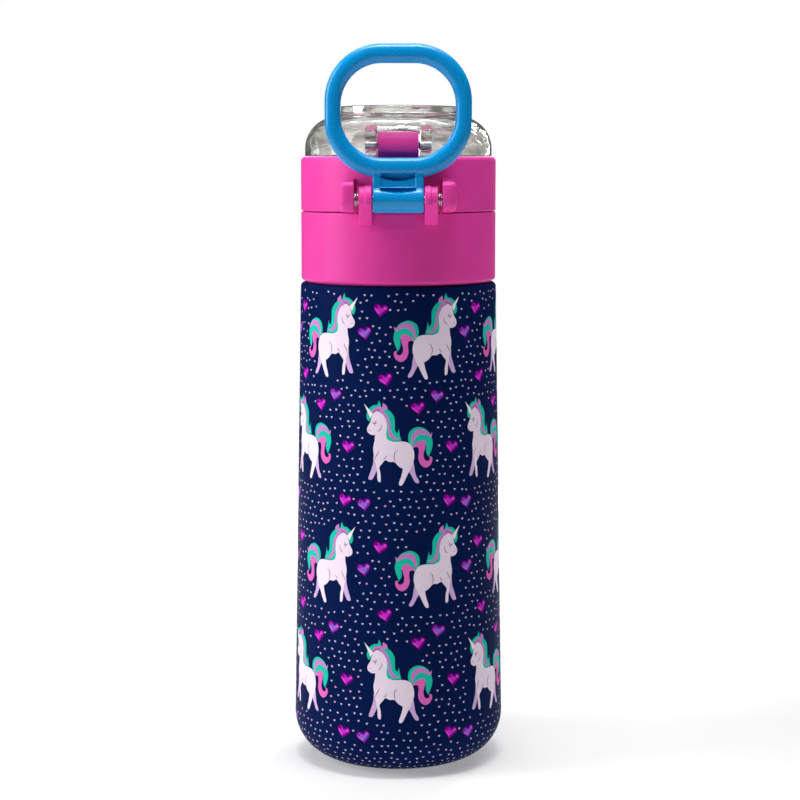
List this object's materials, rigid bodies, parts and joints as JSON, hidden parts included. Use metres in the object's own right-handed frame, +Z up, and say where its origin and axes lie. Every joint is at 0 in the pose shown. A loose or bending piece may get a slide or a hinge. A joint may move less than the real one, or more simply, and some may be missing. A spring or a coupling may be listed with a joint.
{
  "type": "insulated drinking bottle",
  "caption": "Slim insulated bottle with a screw collar, flip lid with push button, clear snap dome over the spout and a swinging carry loop.",
  "frame": {"origin": "on the bottle's axis, in the plane of the base plate it stands on", "axes": "+Z up along the bottle's axis; -Y towards the hinges and the carry loop, +Y towards the push button; +X to the right when looking along +Y"},
  "size_m": [0.0762, 0.0826, 0.2569],
  "materials": {
    "printed_shell": "satin navy powder coat with an all-over print",
    "steel": "brushed stainless steel",
    "seal_bead": "dull solder bead",
    "spring_steel": "bright spring wire and pin",
    "dark_pin": "dark polished pin",
    "pink_plastic": "satin moulded polypropylene",
    "blue_plastic": "satin moulded polypropylene",
    "clear_plastic": "clear moulded copolyester",
    "silicone": "translucent white silicone"
  },
  "bodies": {
    "bottle": {"outer_shell": "printed_shell", "inner_liner": "steel", "base_plate": "steel", "vacuum_seal": "seal_bead"},
    "neck_seal": {"neck_gasket": "silicone"},
    "collar": {"collar": "pink_plastic", "hinge_pin": "spring_steel", "hinge_spring_left": "spring_steel", "hinge_spring_right": "spring_steel"},
    "lid": {"lid_ring": "pink_plastic", "lid_plug": "pink_plastic", "lid_gasket": "silicone", "spout": "clear_plastic", "spout_gasket": "silicone", "vent_valve": "silicone", "dome_pin": "dark_pin", "button_spring": "spring_steel"},
    "button": {"lid_button": "blue_plastic"},
    "dome": {"dome": "clear_plastic", "spout_seal": "silicone"},
    "loop": {"carry_loop": "blue_plastic"}
  },
  "joints": [
    {"name": "neck_seal_lift", "type": "slide", "parent": "bottle", "child": "neck_seal", "axis": [0, 0, 1], "range_m": [0, 0.00601]},
    {"name": "collar_unscrew", "type": "hinge", "parent": "neck_seal", "child": "collar", "pos_m": [0, 0, 0.185], "axis": [0, 0, 1], "range_deg": [0, 540]},
    {"name": "lid_flip", "type": "hinge", "parent": "collar", "child": "lid", "pos_m": [0, -0.0399, 0.2043], "axis": [-1, 0, 0], "range_deg": [-95, 0], "deforming": ["hinge_spring_left", "hinge_spring_right"]},
    {"name": "button_press", "type": "slide", "parent": "lid", "child": "button", "axis": [0, -1, 0], "range_m": [0, 0.002], "stiffness_N_per_m": 700, "springref_m": -0.001, "deforming": ["button_spring"]},
    {"name": "dome_flip", "type": "hinge", "parent": "lid", "child": "dome", "pos_m": [0, -0.033, 0.2229], "axis": [1, 0, 0], "range_deg": [0, 65]},
    {"name": "loop_swing", "type": "hinge", "parent": "lid", "child": "loop", "pos_m": [0, -0.0399, 0.2043], "axis": [1, 0, 0], "range_deg": [0, 170]}
  ],
  "couplings": [
    {"joint": "neck_seal_lift", "follows": "collar_unscrew", "m_per_rad": 0.00063662}
  ]
}
